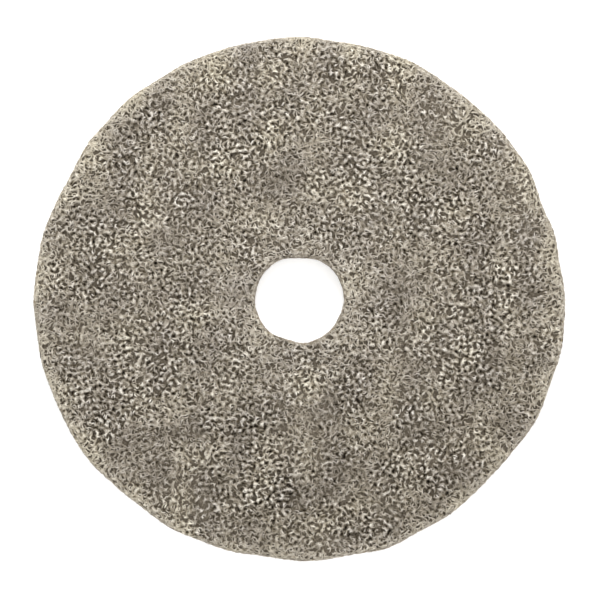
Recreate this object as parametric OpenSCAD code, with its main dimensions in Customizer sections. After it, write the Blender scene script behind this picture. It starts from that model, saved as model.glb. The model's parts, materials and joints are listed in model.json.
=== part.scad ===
// Round polishing pad of lofty non-woven hair-and-polyester web, with a centre hole.
// The pad lies flat on its lower face: Z is the spin axis and z = 0 is the lower face.
// It is built as the real one is: three web plies, two latex bond coats between them, and
// needled tufts of fibre that stitch the plies together. The stack is die-cut last, so every
// layer ends flush at the rim and at the centre hole.

/* [Pad] */
// Outside diameter of the pad
pad_d = 508; // [330:1:610]
// Thickness over both faces
pad_t = 25.4; // [22:0.1:32]
// Diameter of the centre hole
hole_d = 82.55; // [70:0.05:95]
// Rounding of the die-cut rim at each face
edge_r = 3; // [1:0.5:5]

/* [Layers] */
// Thickness of each hair-rich face web
face_t = 8; // [6.5:0.5:9]
// Thickness of each latex bond coat
bond_t = 0.5; // [0.3:0.1:0.9]

/* [Needling] */
// Diameter of one needled tuft of fibre
tuft_d = 2.4; // [1.6:0.1:3.6]
// Distance between the rings of tufts
tuft_step = 40; // [30:1:60]
// Distance between neighbouring tufts along a ring
tuft_pitch = 40; // [30:1:60]
// Web left over each end of a tuft
tuft_cover = 2; // [1:0.5:4]
// Clear band between a tuft and the rim or the hole
tuft_margin = 20; // [12:1:30]

/* [Hidden] */
$fn = 180;

pad_r = pad_d / 2;
hole_r = hole_d / 2;
core_t = pad_t - 2 * face_t - 2 * bond_t;

// Heights of the layer boundaries, from the lower face up
z_lower_bond = face_t;
z_core = z_lower_bond + bond_t;
z_upper_bond = z_core + core_t;
z_upper_face = z_upper_bond + bond_t;

// Rings of tufts, from the hole outwards, every other ring turned by half a pitch
first_ring = hole_r + tuft_margin;
ring_n = floor((pad_r - tuft_margin - first_ring) / tuft_step) + 1;
ring_r = [for (i = [0 : ring_n - 1]) first_ring + i * tuft_step];
ring_count = [for (r = ring_r) round(2 * PI * r / tuft_pitch)];
tuft_points = [
    for (i = [0 : ring_n - 1])
        for (k = [0 : ring_count[i] - 1])
            let (a = 360 * (k + (i % 2) / 2) / ring_count[i])
                [ring_r[i] * cos(a), ring_r[i] * sin(a)]
];

// Vertical columns at every tuft point, between two heights
module tuft_columns(z0, z1, d = tuft_d) {
    for (p = tuft_points)
        translate([p[0], p[1], z0]) cylinder(h = z1 - z0, d = d, $fn = 24);
}

// Profile of a face web standing on its flat side, with its rim rounded at the top
module face_profile() {
    union() {
        translate([hole_r, 0]) square([pad_r - hole_r, face_t - edge_r]);
        translate([hole_r, 0]) square([pad_r - hole_r - edge_r, face_t]);
        translate([pad_r - edge_r, face_t - edge_r]) circle(r = edge_r, $fn = 48);
    }
}

// Flat ring between two heights, flush with the rim and the hole
module flush_ring(z0, z1) {
    translate([0, 0, z0])
        difference() {
            cylinder(h = z1 - z0, r = pad_r);
            translate([0, 0, -1]) cylinder(h = z1 - z0 + 2, r = hole_r);
        }
}

// Working face on top, hair-rich and sprayed with resin
module upper_face_web() {
    color([0.58, 0.55, 0.49])
        difference() {
            translate([0, 0, z_upper_face]) rotate_extrude() face_profile();
            tuft_columns(z_upper_face - 1, pad_t - tuft_cover);
        }
}

// Second working face below, the same web turned over
module lower_face_web() {
    color([0.56, 0.53, 0.47])
        difference() {
            translate([0, 0, face_t]) mirror([0, 0, 1]) rotate_extrude() face_profile();
            tuft_columns(tuft_cover, face_t + 1);
        }
}

// Loftier middle ply that gives the pad its spring
module core_web() {
    color([0.66, 0.64, 0.58])
        difference() {
            flush_ring(z_core, z_upper_bond);
            tuft_columns(z_core - 1, z_upper_bond + 1);
        }
}

// Latex coat between the core and the upper face web
module upper_bond_coat() {
    color([0.72, 0.68, 0.56])
        difference() {
            flush_ring(z_upper_bond, z_upper_face);
            tuft_columns(z_upper_bond - 1, z_upper_face + 1);
        }
}

// Latex coat between the core and the lower face web
module lower_bond_coat() {
    color([0.72, 0.68, 0.56])
        difference() {
            flush_ring(z_lower_bond, z_core);
            tuft_columns(z_lower_bond - 1, z_core + 1);
        }
}

// Fibre pulled down through all the plies by the barbed needles, which holds them together
module needled_tufts() {
    color([0.45, 0.42, 0.37]) tuft_columns(tuft_cover, pad_t - tuft_cover);
}

lower_face_web();
lower_bond_coat();
core_web();
upper_bond_coat();
upper_face_web();
needled_tufts();
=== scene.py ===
import json
import math

import bpy
import numpy as np
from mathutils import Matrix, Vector


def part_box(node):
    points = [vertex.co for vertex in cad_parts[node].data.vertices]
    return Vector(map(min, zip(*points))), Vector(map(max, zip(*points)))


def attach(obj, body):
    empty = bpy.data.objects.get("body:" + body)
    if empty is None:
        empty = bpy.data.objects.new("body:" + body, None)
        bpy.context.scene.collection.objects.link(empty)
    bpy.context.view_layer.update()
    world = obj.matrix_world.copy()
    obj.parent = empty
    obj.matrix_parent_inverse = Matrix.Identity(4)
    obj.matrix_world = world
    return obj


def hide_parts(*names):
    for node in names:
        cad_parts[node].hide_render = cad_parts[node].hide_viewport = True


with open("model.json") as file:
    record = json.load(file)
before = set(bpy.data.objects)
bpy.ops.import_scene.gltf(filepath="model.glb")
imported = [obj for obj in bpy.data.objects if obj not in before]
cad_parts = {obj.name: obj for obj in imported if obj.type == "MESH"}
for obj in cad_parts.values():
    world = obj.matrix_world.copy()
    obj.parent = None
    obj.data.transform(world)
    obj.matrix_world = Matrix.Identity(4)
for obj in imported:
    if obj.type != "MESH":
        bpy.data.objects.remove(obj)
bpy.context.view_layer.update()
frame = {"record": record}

# ---------------------------------------------------------------- sizes, in metres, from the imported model
U_LO, U_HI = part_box("upper_face_web")
L_LO, L_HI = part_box("lower_face_web")
C_LO, C_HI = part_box("core_web")
R0 = (U_HI.x - U_LO.x) / 2
TOP = U_HI.z
BASE = L_LO.z
H = TOP - BASE
PLY = TOP - U_LO.z
MID = BASE + H / 2
HOLE = next(
    m["dims"]["r_mm"] / 1000 for m in frame["record"]["mounts"] if m["kind"] == "bore"
)
MM = 0.001
ROLL = 4.2 * MM  # how softly the rim turns down
ROLL_IN = 3.0 * MM  # the same at the hole
TAU = 2 * math.pi


# ---------------------------------------------------------------- seeded irregularity
def ripple(seed, orders, amp, fall, oval=0.0):
    g = np.random.default_rng(seed)
    ph = g.uniform(0, TAU, len(orders))
    a = np.array([amp * (orders[0] / k) ** fall for k in orders]) * g.uniform(
        0.6, 1.3, len(orders)
    )
    orders, ph, a = [2, *orders], [0.0, *ph], [oval, *a]  # a soft pad settles a little oval

    def f(t):
        s = np.zeros_like(t)
        for k, p, w in zip(orders, ph, a):
            s += w * np.cos(k * t + p)
        return s

    return f


def field(seed, length, n=30):
    g = np.random.default_rng(seed)
    a = g.uniform(0, TAU, n)
    k = TAU / (length * g.uniform(0.65, 1.7, n))
    kx, ky, ph = k * np.cos(a), k * np.sin(a), g.uniform(0, TAU, n)

    def f(x, y):
        s = np.zeros_like(x)
        for i in range(n):
            s += np.cos(kx[i] * x + ky[i] * y + ph[i])
        return s * math.sqrt(2 / n)

    return f


GRID, CELL = 1200, 0.5 * MM


def clumps(seed):
    """The clumping of the web: an even random field whose ridges are the width of a lock of hair."""
    g = np.random.default_rng(seed)
    w = g.standard_normal((GRID, GRID))
    k = np.fft.fftfreq(GRID, CELL)
    f = np.hypot(k[:, None], k[None, :])
    amp = np.exp(-((f / 276.0) ** 10)) * (0.52 + 0.55 * np.exp(-(((f - 168.0) / 72.0) ** 2)))
    amp *= 1 - 0.5 * np.exp(-((f / 50.0) ** 2))
    amp[0, 0] = 0
    F = np.fft.ifft2(np.fft.fft2(w) * amp).real
    F /= F.std()
    return F


def sample(a, x, y):
    u, v = x / CELL + GRID / 2, y / CELL + GRID / 2
    i, j = np.floor(u).astype(int), np.floor(v).astype(int)
    du, dv = u - i, v - j
    i0, i1, j0, j1 = i % GRID, (i + 1) % GRID, j % GRID, (j + 1) % GRID
    return (
        a[j0, i0] * (1 - du) * (1 - dv)
        + a[j0, i1] * du * (1 - dv)
        + a[j1, i0] * (1 - du) * dv
        + a[j1, i1] * du * dv
    )


web = {1: clumps(301), -1: clumps(302)}
rim_shape = ripple(12, list(range(3, 31)), 0.78 * MM, 0.75, oval=1.6 * MM)
hole_shape = ripple(23, list(range(3, 10)), 0.5 * MM, 0.8, oval=0.9 * MM)
relief_wide = field(31, 95 * MM)
relief_fine = field(37, 17 * MM)
contrast_map = field(41, 95 * MM)
contrast_fine = field(42, 42 * MM)
tone_map = field(43, 60 * MM)
tone_fine = field(47, 22 * MM)


def outer(t):
    return R0 + 0.1 * MM + rim_shape(t)


def inner(t):
    return HOLE + 1.5 * MM + hole_shape(t)


def smooth(x):
    x = np.clip(x, 0, 1)
    return x * x * (3 - 2 * x)


def wrap(x, y, d, side):
    """Lays a flat point onto the pad's skin: over the face, round the soft rim or the hole's lip, and down the cut wall to the ply line. d is the height above the skin. Gives the point and the skin's normal."""
    t = np.arctan2(y, x)
    rho = np.hypot(x, y)
    ro, ri = outer(t), inner(t)
    down_o = ROLL * (math.pi / 2 - 1) + PLY
    down_i = ROLL_IN * (math.pi / 2 - 1) + PLY
    s = rho - (ro - ROLL)
    rho = np.where(s > down_o, ro - ROLL + 2 * down_o - s, rho)
    q = (ri + ROLL_IN) - rho
    rho = np.where(q > down_i, ri + ROLL_IN - (2 * down_i - q), rho)
    s, q = np.clip(rho - (ro - ROLL), 0, down_o), np.clip((ri + ROLL_IN) - rho, 0, down_i)
    a, b = np.minimum(s / ROLL, math.pi / 2), np.minimum(q / ROLL_IN, math.pi / 2)
    far_s, far_q = (
        np.maximum(s - ROLL * math.pi / 2, 0),
        np.maximum(q - ROLL_IN * math.pi / 2, 0),
    )
    face = (s <= 0) & (q <= 0)
    r = np.where(
        s > 0,
        ro - ROLL + (ROLL + d) * np.sin(a),
        np.where(q > 0, ri + ROLL_IN - (ROLL_IN + d) * np.sin(b), rho),
    )
    h = np.where(
        s > 0,
        -ROLL + (ROLL + d) * np.cos(a) - far_s,
        np.where(q > 0, -ROLL_IN + (ROLL_IN + d) * np.cos(b) - far_q, d),
    )
    flat = np.where(face, 1.0, np.cos(np.maximum(a, b)))
    h = h + flat * side_relief(x, y, side)
    nr = np.where(s > 0, np.sin(a), np.where(q > 0, -np.sin(b), 0))
    nz = np.where(s > 0, np.cos(a), np.where(q > 0, np.cos(b), 1))
    if side > 0:
        z = TOP + h
    else:
        z = np.maximum(BASE - h, BASE + 0.15 * MM)
        nz = -nz
    c, sn = np.cos(t), np.sin(t)
    return (
        np.stack([r * c, r * sn, z], -1),
        np.stack([nr * c, nr * sn, nz], -1),
    )


def side_relief(x, y, side):
    k = 1.0 if side > 0 else 0.25
    return k * (0.28 * MM * relief_wide(x, y) + 0.16 * MM * relief_fine(x, y)) - 0.55 * MM


def wall(t, z, d, where):
    """The same for a point on the cut wall: where is 1 at the rim and -1 in the hole."""
    r = outer(t) + d if where > 0 else inner(t) - d
    c, sn = np.cos(t), np.sin(t)
    n = np.stack([where * c, where * sn, np.zeros_like(t)], -1)
    return np.stack([r * c, r * sn, z], -1), n


# ---------------------------------------------------------------- fibres
def unit(v):
    return v / np.maximum(np.linalg.norm(v, axis=-1, keepdims=True), 1e-12)


def tubes(g, P, N, w, h, sides, lobes, twist, tone, warm):
    """Closed, tapered tubes along P (strands, points, 3), wider across the skin than through it, with lobes that wind round them. tone is given for each point, or is a function of each vertex's distance across."""
    n, K = P.shape[:2]
    T = unit(np.gradient(P, axis=1))
    N = unit(N - (N * T).sum(-1, keepdims=True) * T)
    B = np.cross(T, N)
    k = np.arange(K)
    m = np.arange(sides)
    f = 1 + lobes * np.cos(3 * TAU * m / sides) if lobes else np.ones(sides)
    ang = (
        TAU * m[None, None, :] / sides
        + twist[:, None, None] * k[None, :, None]
        + g.uniform(0, TAU, n)[:, None, None]
    )
    ca, sa = np.cos(ang) * f, np.sin(ang) * f
    V = (
        P[:, :, None, :]
        + B[:, :, None, :] * (w[:, :, None] * ca)[..., None]
        + N[:, :, None, :] * (h[:, :, None] * sa)[..., None]
    )
    V[..., 2] = np.maximum(V[..., 2], BASE + 0.05 * MM)
    if callable(tone):
        across = w[:, :, None] * ca
        tone = tone(B[:, :, None, 0] * across, B[:, :, None, 1] * across).reshape(-1)
    else:
        tone = np.repeat(tone.reshape(-1), sides)
    idx = np.arange(n * K * sides).reshape(n, K, sides)
    nxt = np.roll(idx, -1, axis=2)
    quads = np.stack(
        [idx[:, :-1], idx[:, 1:], nxt[:, 1:], nxt[:, :-1]], -1
    )  # strands, K-1, sides, 4
    step = np.linalg.norm(np.diff(P, axis=1), axis=-1)
    along = np.concatenate([np.zeros((n, 1)), np.cumsum(step, 1)], 1)
    u0, u1 = k[:-1] / (K - 1), k[1:] / (K - 1)
    v0, v1 = m / sides, (m + 1) / sides
    lu = np.stack(
        np.broadcast_arrays(
            u0[:, None], u1[:, None], u1[:, None], u0[:, None]
        ),
        -1,
    )
    lu = np.broadcast_to(lu, (K - 1, sides, 4))
    lv = np.broadcast_to(np.stack([v0, v0, v1, v1], -1)[None], (K - 1, sides, 4))
    quad_uv = np.broadcast_to(
        np.stack([lu, lv], -1)[None], (n, K - 1, sides, 4, 2)
    ).reshape(-1, 2)
    off = g.uniform(0, 40, n)
    qa = np.stack([along[:, :-1], along[:, 1:], along[:, 1:], along[:, :-1]], -1)
    qa = np.broadcast_to(qa[:, :, None, :], (n, K - 1, sides, 4))
    strand_uv = np.stack(
        [
            qa + off[:, None, None, None],
            np.broadcast_to(lv[None], (n, K - 1, sides, 4)) + np.floor(off * 7)[:, None, None, None],
        ],
        -1,
    ).reshape(-1, 2)
    caps = np.concatenate([idx[:, 0, :], idx[:, -1, ::-1]], 0)
    cap_v = np.concatenate(
        [np.broadcast_to(m / sides, (n, sides)), np.broadcast_to(m[::-1] / sides, (n, sides))], 0
    )
    cap_u = np.concatenate([np.zeros((n, sides)), np.ones((n, sides))], 0)
    cap_uv = np.stack([cap_u, cap_v], -1).reshape(-1, 2)
    cap_off = np.concatenate([off, off])[:, None]
    cap_s = np.stack([cap_u * 0.01 + cap_off, cap_v + 0 * cap_off], -1).reshape(-1, 2)
    return {
        "co": V.reshape(-1, 3),
        "faces": [quads.reshape(-1, 4), caps],
        "uv": [quad_uv, cap_uv],
        "strand": [strand_uv, cap_s],
        "sid": [
            np.repeat(np.arange(n), (K - 1) * sides * 4),
            np.repeat(np.tile(np.arange(n), 2), sides),
        ],
        "n": n,
        "tone": tone,
        "warm": np.repeat(warm.reshape(-1), sides),
    }


def build(name, batches, material):
    """One mesh from the batches, with a place in the bake's map for each strand."""
    co = np.concatenate([b["co"] for b in batches])
    total = sum(b["n"] for b in batches)
    nx = max(1, math.ceil(math.sqrt(total / 2.6)))
    ny = math.ceil(total / nx)
    loops, sizes, uv, suv = [], [], [], []
    vbase = sbase = 0
    for b in batches:
        for f, u, s, sid in zip(b["faces"], b["uv"], b["strand"], b["sid"]):
            loops.append((f + vbase).reshape(-1))
            sizes.append(np.full(len(f), f.shape[1]))
            cell = sid + sbase
            cx, cy = cell % nx, cell // nx
            pad_u, pad_v = 0.04, 0.1
            uv.append(
                np.stack(
                    [
                        (cx + pad_u + u[:, 0] * (1 - 2 * pad_u)) / nx,
                        (cy + pad_v + u[:, 1] * (1 - 2 * pad_v)) / ny,
                    ],
                    -1,
                )
            )
            suv.append(s)
        vbase += len(b["co"])
        sbase += b["n"]
    me = mesh_from(
        name, co, np.concatenate(loops), np.concatenate(sizes)
    )
    for key, values in (("OFBake", np.concatenate(uv)), ("Strand", np.concatenate(suv))):
        layer = me.uv_layers.new(name=key)
        layer.data.foreach_set("uv", values.astype(np.float32).ravel())
    for key in ("tone", "warm"):
        at = me.attributes.new(key, "FLOAT", "POINT")
        at.data.foreach_set(
            "value", np.concatenate([b[key] for b in batches]).astype(np.float32)
        )
    me.materials.append(material)
    ob = bpy.data.objects.new(name, me)
    bpy.context.scene.collection.objects.link(ob)
    return ob


def mesh_from(name, co, loops, sizes):
    me = bpy.data.meshes.new(name)
    me.vertices.add(len(co))
    me.vertices.foreach_set("co", co.astype(np.float32).ravel())
    me.loops.add(len(loops))
    me.loops.foreach_set("vertex_index", loops.astype(np.int32))
    me.polygons.add(len(sizes))
    starts = np.concatenate([[0], np.cumsum(sizes)[:-1]])
    me.polygons.foreach_set("loop_start", starts.astype(np.int32))
    me.polygons.foreach_set("use_smooth", np.ones(len(sizes), bool))
    me.update(calc_edges=True)
    me.validate()
    return me


def scatter(g, n, lo, hi):
    """About n points over a ring, spread as evenly as a web is laid, with no pattern."""
    cell = math.sqrt(math.pi * (hi * hi - lo * lo) / n)
    c = np.arange(-hi, hi + cell, cell)
    x, y = np.meshgrid(c, c)
    x = x + np.where(np.arange(len(c)) % 2, 0.5, 0)[:, None] * cell
    x = (x + g.uniform(-0.55, 0.55, x.shape) * cell).ravel()
    y = (y + g.uniform(-0.55, 0.55, y.shape) * cell).ravel()
    r = np.hypot(x, y)
    ok = (r > lo) & (r < hi)
    return x[ok], y[ok]


def curl(g, n, K, length, bend, wave):
    """Offsets of n curly paths from their middles, and how far along each point is, from -0.5 to 0.5."""
    L = length * g.uniform(0.7, 1.35, n)
    s = np.linspace(-0.5, 0.5, K)
    mid = (s[:-1] + s[1:]) / 2
    d = mid[None] * L[:, None]
    lam1, lam2 = wave * g.uniform(0.75, 1.6, n), wave * 0.45 * g.uniform(0.8, 1.4, n)
    heading = g.uniform(0, TAU, n)
    phi = (
        heading[:, None]
        + (bend * g.uniform(0.3, 1.25, n))[:, None]
        * np.sin(TAU * d / lam1[:, None] + g.uniform(0, TAU, n)[:, None])
        + (0.35 * bend * g.uniform(0.2, 1, n))[:, None]
        * np.sin(TAU * d / lam2[:, None] + g.uniform(0, TAU, n)[:, None])
    )
    step = (L / (K - 1))[:, None]
    x = np.concatenate([np.zeros((n, 1)), np.cumsum(np.cos(phi) * step, 1)], 1)
    y = np.concatenate([np.zeros((n, 1)), np.cumsum(np.sin(phi) * step, 1)], 1)
    return x - x.mean(1, keepdims=True), y - y.mean(1, keepdims=True), s, L


def taper(K, tip, power=1.0):
    s = np.abs(np.linspace(-1, 1, K))
    return tip + (1 - tip) * (1 - s**4) ** power


def near_edge(x, y):
    """1 at the cut edges, 0 away from them."""
    t = np.arctan2(y, x)
    rho = np.hypot(x, y)
    o = smooth(1 - (outer(t) - rho) / (24 * MM))
    i = smooth(1 - (rho - inner(t)) / (22 * MM))
    return np.maximum(o, i * 0.12)


def contrast(x, y):
    return np.clip(1 + 0.24 * contrast_map(x, y) + 0.24 * contrast_fine(x, y), 0.45, 1.8)


EDGE_LIGHT = 0.125
HOLE_LIGHT = 0.068
# painted shade at the hole's cut lip, partly packed cut fibre
LIP_PACKING_AND_SHADE = 0.085


def liveliness(x, y):
    """How strongly the clumps differ at a place: less near the rim and the hole, where the cut fibre has been pressed flat."""
    inmost = smooth(1 - (np.hypot(x, y) - HOLE) / (70 * MM))
    return contrast(x, y) * (1 - 0.56 * near_edge(x, y)) * (1 - 0.4 * inmost)


def face_layer(seed, side, n, K, sides, length, bend, wave, half, thick, depth, spread, tuck, mean, vary, clump_shading=0.1, lift=0.0, lobes=0.0, tip=0.4, least=-9.0):
    """One layer of curly fibre over a face and down to the ply lines. It rises with the web's clumps by lift, and its
    tone is painted paler where the clumps are high and darker where they are low: partly the clumps' own uneven tone,
    partly painted light on the risen tops and painted shade in the hollows. It leaves out what lies where the clumps
    are lower than least.
    """
    g = np.random.default_rng(seed)
    W = web[side]
    x0, y0 = scatter(g, n, HOLE - 5 * MM, R0 + 6 * MM)
    keep = sample(W, x0, y0) * liveliness(x0, y0) > least
    x0, y0 = x0[keep], y0[keep]
    n = len(x0)
    dx, dy, s, L = curl(g, n, K, length, bend, wave)
    x, y = x0[:, None] + dx, y0[:, None] + dy
    e = near_edge(x, y)
    c = contrast(x, y)
    lively = liveliness(x, y)
    F = np.clip(sample(W, x, y), -2.2, 2.2)
    d = (
        depth
        + (spread * g.uniform(-1, 1, n))[:, None]
        + (0.6 * spread * g.uniform(0.4, 1.2, n))[:, None]
        * np.sin(TAU * s[None] * (L / (11 * MM))[:, None] + g.uniform(0, TAU, n)[:, None])
        - tuck * (np.abs(2 * s[None]) ** 3)
        + lift * F * c * (1 - 0.5 * e)
    )
    P, N = wrap(x, y, d, side)
    slow = tone_map(x, y)
    rho = np.hypot(x, y)
    inmost = smooth(1 - (rho - HOLE) / (70 * MM))
    # the lip mask: fibre within 4.5 mm of the hole's cut lip is painted darker, partly packed cut fibre, partly painted
    # shade of the lip
    lip = smooth(1 - (rho - inner(np.arctan2(y, x))) / (4.5 * MM))
    # the last term of own is painted shade: darker towards the bottom right by up to 0.055, standing in for light
    # falling off towards the bottom
    own = (vary * g.normal(0, 1, n))[:, None] + 0.033 * slow + 0.022 * tone_fine(x, y) + HOLE_LIGHT * inmost - LIP_PACKING_AND_SHADE * lip - 0.055 * smooth((0.34 * x - 0.94 * y - 30 * MM) / (240 * MM))

    def tone(ox, oy):
        f = np.clip(sample(W, x[:, :, None] + ox, y[:, :, None] + oy), -2.6, 2.6)
        # painted light and shade: the tone follows the clump field, far darker where it is low (the dark specks in the
        # hollows are painted shade) and paler where it is high (painted light on the risen tops)
        f = np.where(f < 0, max(clump_shading, 0.205) * (0.56 - 0.15 * f + 0.13 * f * f), clump_shading * (0.725 + 0.02 * f)) * f
        v = mean + f * lively[:, :, None] + (own * (1 - 0.4 * e) + EDGE_LIGHT * e)[:, :, None]
        return np.clip(v, 0, 1)

    warm = 0.35 + 0.33 * e + 0.2 * slow + (0.1 * g.normal(0, 1, n))[:, None]
    w = (half * g.uniform(0.7, 1.25, n))[:, None] * taper(K, tip)[None]
    h = (thick * g.uniform(0.8, 1.2, n))[:, None] * taper(K, tip)[None]
    tw = g.choice([-1, 1], n) * g.uniform(0.3, 0.75, n)
    return tubes(g, P, N, w, h, sides, lobes, tw, tone, np.clip(warm, 0, 1))


def wall_layer(seed, where, z0, z1, n, K, sides, length, half, thick, depth, spread, mean, vary, lean=0.35, tip=0.4):
    """Fibre on the cut wall between two heights, lying mostly along the ply."""
    g = np.random.default_rng(seed)
    r = R0 if where > 0 else HOLE
    t0 = (np.arange(n) + g.uniform(-0.5, 0.5, n)) * TAU / n
    zc = g.uniform(z0, z1, n)
    L = length * g.uniform(0.7, 1.35, n)
    s = np.linspace(-0.5, 0.5, K)
    slope = g.normal(0, lean, n)
    lam = 9 * MM * g.uniform(0.7, 1.5, n)
    arc = s[None] * (L * np.cos(slope))[:, None]
    z = (
        zc[:, None]
        + s[None] * (L * np.sin(slope))[:, None]
        + (0.9 * MM * g.uniform(0.3, 1.2, n))[:, None]
        * np.sin(TAU * arc / lam[:, None] + g.uniform(0, TAU, n)[:, None])
    )
    z = np.where(z > z1, 2 * z1 - z, z)
    z = np.where(z < z0, 2 * z0 - z, z)
    z = np.clip(z, z0, z1)
    t = t0[:, None] + arc / r
    d = (
        depth
        + (spread * g.uniform(-1, 1, n))[:, None]
        + spread * np.sin(TAU * s[None] * g.uniform(0.6, 1.6, n)[:, None] + g.uniform(0, TAU, n)[:, None])
        - 0.8 * MM * np.abs(2 * s[None]) ** 3
    )
    P, N = wall(t, z, d, where)
    tone = (mean + vary * g.normal(0, 1, n))[:, None] + 0 * t
    warm = (0.55 + 0.15 * g.normal(0, 1, n))[:, None] + 0 * t
    w = (half * g.uniform(0.7, 1.25, n))[:, None] * taper(K, tip)[None]
    h = (thick * g.uniform(0.8, 1.2, n))[:, None] * taper(K, tip)[None]
    tw = g.choice([-1, 1], n) * g.uniform(0.3, 0.75, n)
    return tubes(g, P, N, w, h, sides, 0.2 if sides == 6 else 0.0, tw, np.clip(tone, 0, 1), np.clip(warm, 0, 1))


def cut_ends(seed, where, n, mean, vary):
    """The short fibre ends that a die leaves standing a little out of the wall."""
    g = np.random.default_rng(seed)
    K = 4
    t0 = g.uniform(0, TAU, n)
    z0 = g.uniform(BASE + 0.8 * MM, TOP - 2.2 * MM, n)
    out = g.uniform(0.1, 1.0, n) * MM
    s = np.linspace(0, 1, K)
    reach = -2.2 * MM + (2.2 * MM + out)[:, None] * s[None]
    r = R0 if where > 0 else HOLE
    t = t0[:, None] + (g.normal(0, 1.3 * MM, n)[:, None] * s[None] ** 1.5) / r
    z = z0[:, None] + g.normal(0, 1.0 * MM, n)[:, None] * s[None] ** 1.5
    z = np.clip(z, BASE + 0.4 * MM, TOP)
    near = np.clip((z - BASE) / ROLL, 0, 1), np.clip((TOP - z) / ROLL, 0, 1)
    pull = ROLL * (1 - np.sqrt(1 - (1 - np.minimum(*near)) ** 2))
    P, N = wall(t, z, reach - pull, where)
    N = np.stack([np.zeros_like(t), np.zeros_like(t), np.ones_like(t)], -1)
    rad = (g.uniform(0.22, 0.38, n) * MM)[:, None] * np.linspace(1, 0.55, K)[None]
    tone = (mean + vary * g.normal(0, 1, n))[:, None] + 0 * t
    warm = 0.6 + 0 * t
    return tubes(g, P, N, rad, rad, 4, 0.0, np.zeros(n), np.clip(tone, 0, 1), warm)


# ---------------------------------------------------------------- solid bodies of the plies, under the loose fibre
def ring_body(name, section, turns, material, warp):
    """A closed ring: section(t) gives its outline points (m, 2) as radius and height, for every angle in t."""
    t = np.arange(turns) * TAU / turns
    rz = section(t)  # turns, m, 2
    m = rz.shape[1]
    x, y = rz[..., 0] * np.cos(t)[:, None], rz[..., 0] * np.sin(t)[:, None]
    co = np.stack([x, y, rz[..., 1]], -1)
    co = warp(co)
    idx = np.arange(turns * m).reshape(turns, m)
    a, b = np.roll(idx, -1, 0), np.roll(idx, -1, 1)
    c = np.roll(a, -1, 1)
    quads = np.stack([idx, a, c, b], -1).reshape(-1, 4)
    me = mesh_from(name, co.reshape(-1, 3), quads.ravel(), np.full(len(quads), 4))
    me.materials.append(material)
    ob = bpy.data.objects.new(name, me)
    bpy.context.scene.collection.objects.link(ob)
    return ob


def lumps(seed, amp):
    f1, f2, f3 = field(seed, 14 * MM), field(seed + 1, 6 * MM), field(seed + 2, 9 * MM)

    def warp(co):
        x, y, z = co[..., 0], co[..., 1], co[..., 2]
        r = np.hypot(x, y)
        dz = amp * (0.5 * f1(x, y) + 0.5 * f2(x, y))
        dr = amp * 0.6 * f3(x / np.maximum(r, 1e-6) * 0.12 + z, y / np.maximum(r, 1e-6) * 0.12 - 0.7 * z)
        out = co.copy()
        out[..., 2] = z + dz
        k = 1 + dr / np.maximum(r, 1e-6)
        out[..., 0], out[..., 1] = x * k, y * k
        return out

    return warp


def ply_section(z0, z1, inset, lip0, lip1, nr=70, nz=6):
    """Outline of one ply, inset from the pad's skin, with rounded outer corners of the radii given below and above."""

    def section(t):
        ro, ri = outer(t) - inset, inner(t) + inset

        def corner(lip, up, out):
            k = np.linspace(0, math.pi / 2, 5)
            return lip * (1 - np.sin(k)) if out else lip * (1 - np.cos(k)), lip * (
                1 - np.cos(k)
            )

        pts = []
        # bottom, from the hole outwards
        rb = np.linspace(0, 1, nr)
        for v in rb:
            pts.append((ri + lip0 + (ro - ri - 2 * lip0) * v, np.full_like(t, z0)))
        for k in np.linspace(0.25, 0.75, 3) * math.pi / 2:
            pts.append((ro - lip0 + lip0 * math.sin(k), np.full_like(t, z0 + lip0 - lip0 * math.cos(k))))
        for v in np.linspace(0, 1, nz):
            pts.append((ro, np.full_like(t, z0 + lip0 + (z1 - lip1 - z0 - lip0) * v)))
        for k in np.linspace(0.25, 0.75, 3) * math.pi / 2:
            pts.append((ro - lip1 + lip1 * math.cos(k), np.full_like(t, z1 - lip1 + lip1 * math.sin(k))))
        for v in rb[::-1]:
            pts.append((ri + lip1 + (ro - ri - 2 * lip1) * v, np.full_like(t, z1)))
        for k in np.linspace(0.25, 0.75, 3) * math.pi / 2:
            pts.append((ri + lip1 - lip1 * math.sin(k), np.full_like(t, z1 - lip1 + lip1 * math.cos(k))))
        for v in np.linspace(1, 0, nz):
            pts.append((ri, np.full_like(t, z0 + lip0 + (z1 - lip1 - z0 - lip0) * v)))
        for k in np.linspace(0.25, 0.75, 3) * math.pi / 2:
            pts.append((ri + lip0 - lip0 * math.cos(k), np.full_like(t, z0 + lip0 - lip0 * math.sin(k))))
        return np.stack([np.stack(p, -1) for p in pts], 1)

    return section


# ---------------------------------------------------------------- materials
def nodes_of(name):
    m = bpy.data.materials.new(name)
    m.use_nodes = True
    nt = m.node_tree
    for n in list(nt.nodes):
        nt.nodes.remove(n)
    out = nt.nodes.new("ShaderNodeOutputMaterial")
    p = nt.nodes.new("ShaderNodeBsdfPrincipled")
    nt.links.new(p.outputs[0], out.inputs[0])
    return m, nt, p


def math_node(nt, op, a, b=None, clamp=False):
    n = nt.nodes.new("ShaderNodeMath")
    n.operation = op
    n.use_clamp = clamp
    for i, v in enumerate([a, b]):
        if v is None:
            continue
        if isinstance(v, (int, float)):
            n.inputs[i].default_value = v
        else:
            nt.links.new(v, n.inputs[i])
    return n.outputs[0]


def attribute(nt, name):
    n = nt.nodes.new("ShaderNodeAttribute")
    n.attribute_name = name
    return n.outputs["Fac"]


def noise(nt, vector, scale, detail=3.0, rough=0.6, dims="3D"):
    n = nt.nodes.new("ShaderNodeTexNoise")
    n.noise_dimensions = dims
    n.inputs["Scale"].default_value = scale
    n.inputs["Detail"].default_value = detail
    n.inputs["Roughness"].default_value = rough
    if vector is not None:
        nt.links.new(vector, n.inputs["Vector"])
    return n.outputs["Fac"]


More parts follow.
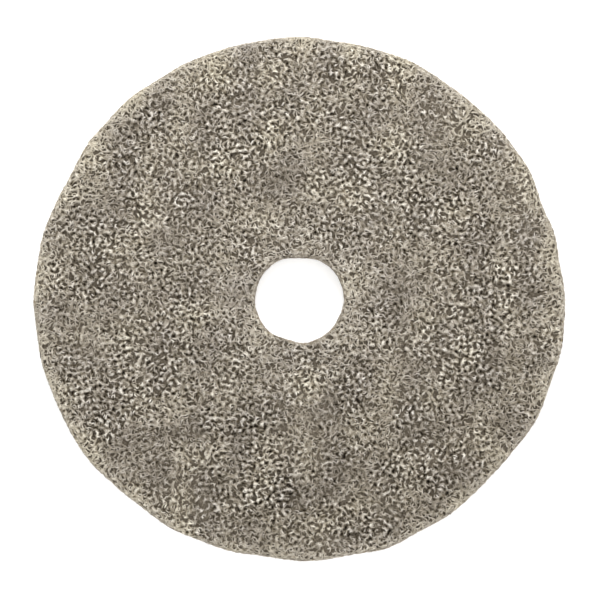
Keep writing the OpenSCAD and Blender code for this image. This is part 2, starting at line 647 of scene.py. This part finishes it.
def ramp(nt, fac, stops):
    n = nt.nodes.new("ShaderNodeValToRGB")
    el = n.color_ramp.elements
    while len(el) > 1:
        el.remove(el[-1])
    el[0].position, el[0].color = stops[0][0], (*stops[0][1], 1)
    for pos, col in stops[1:]:
        e = el.new(pos)
        e.color = (*col, 1)
    nt.links.new(fac, n.inputs["Fac"])
    return n.outputs["Color"]


def mix_colour(nt, fac, a, b, how="MIX"):
    n = nt.nodes.new("ShaderNodeMix")
    n.data_type = "RGBA"
    n.blend_type = how
    for sock, v in ((n.inputs["Factor"], fac), (n.inputs["A"], a), (n.inputs["B"], b)):
        pass
    ins = {s.identifier: s for s in n.inputs}
    for key, v in (("Factor_Float", fac), ("A_Color", a), ("B_Color", b)):
        s = ins[key]
        if isinstance(v, (int, float)):
            s.default_value = v
        elif isinstance(v, tuple):
            s.default_value = (*v, 1)
        else:
            nt.links.new(v, s)
    return {s.identifier: s for s in n.outputs}["Result_Color"]


def lin(*rgb):
    return tuple(
        (c / 255 / 12.92) if c / 255 <= 0.04045 else ((c / 255 + 0.055) / 1.055) ** 2.4
        for c in rgb
    )


def fibre_material(name, stops, warm_tint, gloss=0.62, sheen=0.05, bump=0.35):
    m, nt, p = nodes_of(name)
    tone, warm = attribute(nt, "tone"), attribute(nt, "warm")
    uv = nt.nodes.new("ShaderNodeUVMap")
    uv.uv_map = "Strand"
    stretch = nt.nodes.new("ShaderNodeMapping")
    stretch.inputs["Scale"].default_value = (110.0, 7.0, 1.0)
    nt.links.new(uv.outputs["UV"], stretch.inputs["Vector"])
    streak = noise(nt, stretch.outputs["Vector"], 1.0, 3.0, 0.62, "2D")
    blot = nt.nodes.new("ShaderNodeMapping")
    blot.inputs["Scale"].default_value = (330.0, 3.0, 1.0)
    nt.links.new(uv.outputs["UV"], blot.inputs["Vector"])
    patch = noise(nt, blot.outputs["Vector"], 1.0, 2.0, 0.5, "2D")
    t = math_node(nt, "ADD", tone, math_node(nt, "MULTIPLY", math_node(nt, "SUBTRACT", streak, 0.5), 0.28))
    t = math_node(nt, "ADD", t, math_node(nt, "MULTIPLY", math_node(nt, "SUBTRACT", patch, 0.5), 0.12), True)
    col = ramp(nt, t, stops)
    tinted = mix_colour(nt, 1.0, col, warm_tint, "MULTIPLY")
    col = mix_colour(nt, warm, col, tinted)
    nt.links.new(col, p.inputs["Base Color"])
    rough = math_node(nt, "ADD", math_node(nt, "MULTIPLY", streak, 0.3), gloss - 0.15, True)
    nt.links.new(rough, p.inputs["Roughness"])
    b = nt.nodes.new("ShaderNodeBump")
    b.inputs["Strength"].default_value = bump
    b.inputs["Distance"].default_value = 0.0004
    nt.links.new(streak, b.inputs["Height"])
    nt.links.new(b.outputs["Normal"], p.inputs["Normal"])
    p.inputs["Sheen Weight"].default_value = sheen
    p.inputs["Sheen Roughness"].default_value = 0.45
    p.inputs["Specular IOR Level"].default_value = 0.11
    return m


def web_material(name, stops, scale=260.0, gloss=0.85):
    """Packed fibre deep in a ply: short streaks that run every way."""
    m, nt, p = nodes_of(name)
    tc = nt.nodes.new("ShaderNodeTexCoord")
    place = tc.outputs["Object"]
    swirl = nt.nodes.new("ShaderNodeTexNoise")
    swirl.inputs["Scale"].default_value = scale * 0.5
    nt.links.new(place, swirl.inputs["Vector"])
    warped = nt.nodes.new("ShaderNodeVectorMath")
    warped.operation = "MULTIPLY_ADD"
    nt.links.new(swirl.outputs["Color"], warped.inputs[0])
    warped.inputs[1].default_value = (0.012, 0.012, 0.012)
    nt.links.new(place, warped.inputs[2])
    fine = noise(nt, warped.outputs[0], scale * 2.2, 4.0, 0.7)
    broad = noise(nt, place, 30.0, 2.0, 0.5)
    t = math_node(nt, "ADD", math_node(nt, "MULTIPLY", fine, 0.8), math_node(nt, "MULTIPLY", broad, 0.25), True)
    nt.links.new(ramp(nt, t, stops), p.inputs["Base Color"])
    rough = math_node(nt, "ADD", math_node(nt, "MULTIPLY", fine, 0.25), gloss - 0.12, True)
    nt.links.new(rough, p.inputs["Roughness"])
    b = nt.nodes.new("ShaderNodeBump")
    b.inputs["Strength"].default_value = 0.8
    b.inputs["Distance"].default_value = 0.001
    nt.links.new(fine, b.inputs["Height"])
    nt.links.new(b.outputs["Normal"], p.inputs["Normal"])
    p.inputs["Sheen Weight"].default_value = 0.15
    p.inputs["Sheen Roughness"].default_value = 0.5
    p.inputs["Specular IOR Level"].default_value = 0.2
    return m


HAIR = [
    (0.0, lin(10, 5, 1)),
    (0.1, lin(30, 21, 10)),
    (0.25, lin(88, 79, 64)),
    (0.5, lin(148, 139.5, 126.5)),
    (0.75, lin(198, 190.5, 181)),
    (1.0, lin(243, 238, 231)),
]
hair = fibre_material("hair_fibre", HAIR, (1.005, 0.99, 0.885))
stray = fibre_material("stray_hair", HAIR, (1.005, 0.99, 0.885), gloss=0.5, sheen=0.05)
poly = fibre_material("polyester_fibre", HAIR, (1.02, 0.985, 0.92), gloss=0.5, sheen=0.15)
# painted shade of depth: the web bodies that lie under the loose fibre get darker stops than the fibre over them, so
# the gaps read dark
DEEP_SHADE_STOPS = [
    (0.2, lin(40, 34, 26)),
    (0.5, lin(86, 78, 66)),
    (0.8, lin(140, 130, 115)),
]
deep_hair = web_material("deep_hair_web", DEEP_SHADE_STOPS)
deep_poly = web_material("deep_polyester_web", [(0.2, lin(52, 46, 36)), (0.5, lin(104, 95, 80)), (0.8, lin(158, 147, 128))])


def latex_material():
    m, nt, p = nodes_of("dried_latex")
    tc = nt.nodes.new("ShaderNodeTexCoord")
    drop = noise(nt, tc.outputs["Object"], 420.0, 4.0, 0.65)
    wide = noise(nt, tc.outputs["Object"], 60.0, 2.0, 0.5)
    t = math_node(nt, "ADD", math_node(nt, "MULTIPLY", drop, 0.6), math_node(nt, "MULTIPLY", wide, 0.4), True)
    nt.links.new(ramp(nt, t, [(0.3, lin(112, 96, 66)), (0.55, lin(160, 142, 104)), (0.75, lin(198, 183, 146))]), p.inputs["Base Color"])
    nt.links.new(math_node(nt, "ADD", math_node(nt, "MULTIPLY", drop, 0.35), 0.22, True), p.inputs["Roughness"])
    b = nt.nodes.new("ShaderNodeBump")
    b.inputs["Strength"].default_value = 0.7
    b.inputs["Distance"].default_value = 0.0006
    nt.links.new(drop, b.inputs["Height"])
    nt.links.new(b.outputs["Normal"], p.inputs["Normal"])
    p.inputs["Specular IOR Level"].default_value = 0.45
    return m


latex = latex_material()

# ---------------------------------------------------------------- the pieces
made = []


def piece(ob, node):
    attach(ob, "root")
    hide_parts(node)
    made.append(ob)
    return ob


GAP = 2.4 * MM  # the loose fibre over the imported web
Z1, Z2, Z3, Z4 = L_HI.z, C_LO.z, C_HI.z, U_LO.z

upper = ring_body(
    "upper_web_body",
    ply_section(Z4, TOP - GAP - 0.5 * MM, 1.7 * MM, 0.6 * MM, 3.0 * MM),
    420,
    deep_hair,
    lumps(61, 0.35 * MM),
)
piece(upper, "upper_face_web")
core = ring_body(
    "core_web_body",
    ply_section(Z2 + 0.3 * MM, Z3 - 0.3 * MM, 1.5 * MM, 0.8 * MM, 0.8 * MM, nr=24),
    420,
    deep_poly,
    lumps(71, 0.2 * MM),
)
piece(core, "core_web")
lower = ring_body(
    "lower_web_body",
    ply_section(BASE + GAP, Z1, 1.7 * MM, 3.0 * MM, 0.6 * MM),
    420,
    deep_hair,
    lumps(81, 0.3 * MM),
)
piece(lower, "lower_face_web")

# the sprayed latex, which shows between the plies as a thin broken line
for i, (node, lo, hi) in enumerate((("lower_bond_coat", Z1, Z2), ("upper_bond_coat", Z3, Z4))):
    edge_a, edge_b = ripple(91 + i, list(range(9, 160, 7)), 0.11 * MM, 0.1), ripple(95 + i, list(range(5, 40, 3)), 0.1 * MM, 0.1)
    thick = field(97 + i, 25 * MM)

    def film(t, lo=lo, hi=hi, edge_a=edge_a, edge_b=edge_b):
        ro, ri = outer(t) - 0.75 * MM + edge_a(t), inner(t) + 0.75 * MM + edge_b(t)
        pts = []
        for v in np.linspace(0, 1, 14):
            pts.append((ri + (ro - ri) * v, np.full_like(t, lo - 0.1 * MM)))
        pts.append((ro + 0.15 * MM, np.full_like(t, (lo + hi) / 2)))
        for v in np.linspace(1, 0, 14):
            pts.append((ri + (ro - ri) * v, np.full_like(t, hi + 0.1 * MM)))
        pts.append((ri - 0.15 * MM, np.full_like(t, (lo + hi) / 2)))
        return np.stack([np.stack(p, -1) for p in pts], 1)

    coat = ring_body(node + "_film", film, 720, latex, lumps(99 + i, 0.08 * MM))
    piece(coat, node)

# needled tufts: twisted bundles through the plies
t_lo, t_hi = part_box("needled_tufts")
g = np.random.default_rng(5)
spots = []
r = 61.275 * MM
while r < R0 - 20 * MM:
    count = max(3, round(TAU * r / (40 * MM)))
    for j in range(count):
        a = TAU * j / count
        spots.append((r * math.cos(a), r * math.sin(a)))
    r += 40 * MM
bundle = []
K = 13
for (x, y) in spots:
    for j in range(3):
        ph = j * TAU / 3 + g.uniform(0, 0.5)
        k = np.linspace(0, 1, K)
        z = t_lo.z - 0.8 * MM + (t_hi.z - t_lo.z + 1.2 * MM) * k
        rad = 0.62 * MM * (1 + 0.15 * np.sin(5 * k + ph))
        bundle.append(np.stack([x + rad * np.cos(ph + 5 * k), y + rad * np.sin(ph + 5 * k), z], -1))
P = np.array(bundle)
N = np.zeros_like(P)
N[..., 0] = 1
w = np.full(P.shape[:2], 0.5 * MM) * taper(K, 0.4)[None]
tuft_tone = np.clip(0.35 + 0.15 * g.normal(0, 1, len(P)), 0, 1)[:, None] + 0 * w
tufts = build(
    "needled_tuft_bundles",
    [tubes(g, P, N, w, w, 6, 0.12, np.full(len(P), 0.5), tuft_tone, 0.4 + 0 * w)],
    hair,
)
piece(tufts, "needled_tufts")

# loose fibre, from the deepest layer to the top, on both faces; the deeper layers are painted darker (mean tone 0.515,
# 0.555, 0.588 from the deepest up), painted shade of depth
for side, face, node in ((1, "upper", "upper_face_web"), (-1, "lower", "lower_face_web")):
    s0 = 1000 if side > 0 else 3000
    for i in range(2):
        deep = face_layer(s0 + i, side, 2600, 8, 4, 13 * MM, 0.9, 13 * MM, 1.05 * MM, 0.6 * MM, -2.0 * MM, 0.3 * MM, 0.4 * MM, 0.515, 0.03, clump_shading=0.2, lift=0.15 * MM)
        piece(build(f"{face}_deep_fibres_{i + 1}", [deep], hair), node)
    for i in range(3):
        mid = face_layer(s0 + 10 + i, side, 2800, 9, 4, 10 * MM, 1.0, 11 * MM, 0.78 * MM, 0.5 * MM, -1.3 * MM, 0.3 * MM, 0.4 * MM, 0.555, 0.03, clump_shading=0.185, lift=0.3 * MM, least=-1.7)
        piece(build(f"{face}_middle_fibres_{i + 1}", [mid], hair), node)
    for i in range(4):
        top = face_layer(s0 + 20 + i, side, 3300, 9, 4, 7.5 * MM, 1.1, 9 * MM, 0.64 * MM, 0.42 * MM, -0.65 * MM, 0.25 * MM, 0.45 * MM, 0.588, 0.03, clump_shading=0.168, lift=0.4 * MM, least=-0.9)
        piece(build(f"{face}_top_fibres_{i + 1}", [top], hair), node)
    fine = face_layer(s0 + 40, side, 1500, 12, 3, 18 * MM, 1.5, 13 * MM, 0.2 * MM, 0.2 * MM, -0.4 * MM, 0.3 * MM, 0.9 * MM, 0.575, 0.045, clump_shading=0.168, lift=0.42 * MM, tip=0.5)
    piece(build(f"{face}_stray_hairs", [fine], stray), node)

# of the two wall layers at the rim and in the hole, the deeper one (1.0 mm in) is painted darker, tone 0.42 against
# 0.60: painted shade of depth
core_sets = []
for where, n, seed in ((1, 900, 5000), (-1, 170, 5100)):
    core_sets.append(wall_layer(seed, where, Z2, Z3, n, 8, 6, 15 * MM, 0.95 * MM, 0.6 * MM, -1.0 * MM, 0.25 * MM, 0.42, 0.12))
    core_sets.append(wall_layer(seed + 1, where, Z2, Z3, n, 8, 6, 14 * MM, 0.85 * MM, 0.55 * MM, -0.15 * MM, 0.3 * MM, 0.60, 0.13))
piece(build("core_edge_fibres", core_sets, poly), "core_web")
ends = [cut_ends(5200, 1, 3600, 0.6, 0.16), cut_ends(5201, -1, 620, 0.55, 0.16)]
piece(build("core_cut_ends", ends, poly), "core_web")

# ---------------------------------------------------------------- studio
floor_mat, nt, p = nodes_of("studio_floor")
p.inputs["Base Color"].default_value = (0.93, 0.93, 0.93, 1)
p.inputs["Roughness"].default_value = 0.9
p.inputs["Specular IOR Level"].default_value = 0.1
p.inputs["Emission Color"].default_value = (1, 1, 1, 1)
p.inputs["Emission Strength"].default_value = 0.4
me = bpy.data.meshes.new("studio_floor")
me.from_pydata([(-6, -6, 0), (6, -6, 0), (6, 6, 0), (-6, 6, 0)], [], [(0, 1, 2, 3)])
me.materials.append(floor_mat)
floor = bpy.data.objects.new("studio_floor", me)
bpy.context.scene.collection.objects.link(floor)

world = bpy.context.scene.world or bpy.data.worlds.new("studio")
bpy.context.scene.world = world
world.use_nodes = True
bg = next(n for n in world.node_tree.nodes if n.type == "BACKGROUND")
bg.inputs["Color"].default_value = (1, 1, 1, 1)
bg.inputs["Strength"].default_value = 1.0


def softbox(name, at, size, power):
    d = bpy.data.lights.new(name, "AREA")
    d.shape = "SQUARE"
    d.size = size
    d.energy = power
    o = bpy.data.objects.new(name, d)
    o.location = at
    o.rotation_mode = "QUATERNION"
    o.rotation_quaternion = (-Vector(at)).to_track_quat("-Z", "Y")
    o.visible_camera = False
    bpy.context.scene.collection.objects.link(o)
    return o


softbox("key", (-0.05, 1.1, 0.85), 0.8, 13.5)
softbox("fill", (1.8, -1.2, 2.4), 2.0, 8)

cam_data = bpy.data.cameras.new("camera")
cam_data.sensor_width = 36
distance = 2.4
view_width = 600 * (2 * R0 / 526.3)
cam_data.lens = 36 * distance / view_width
cam_data.dof.use_dof = False
cam_data.clip_start, cam_data.clip_end = 0.05, 50
cam = bpy.data.objects.new("camera", cam_data)
cam.location = (0.0006, -0.0005, TOP + distance)
cam.rotation_euler = (0, 0, 0)
bpy.context.scene.collection.objects.link(cam)
bpy.context.scene.camera = cam
bpy.context.scene.view_settings.view_transform = "Standard"
bpy.context.scene.view_settings.look = "None"
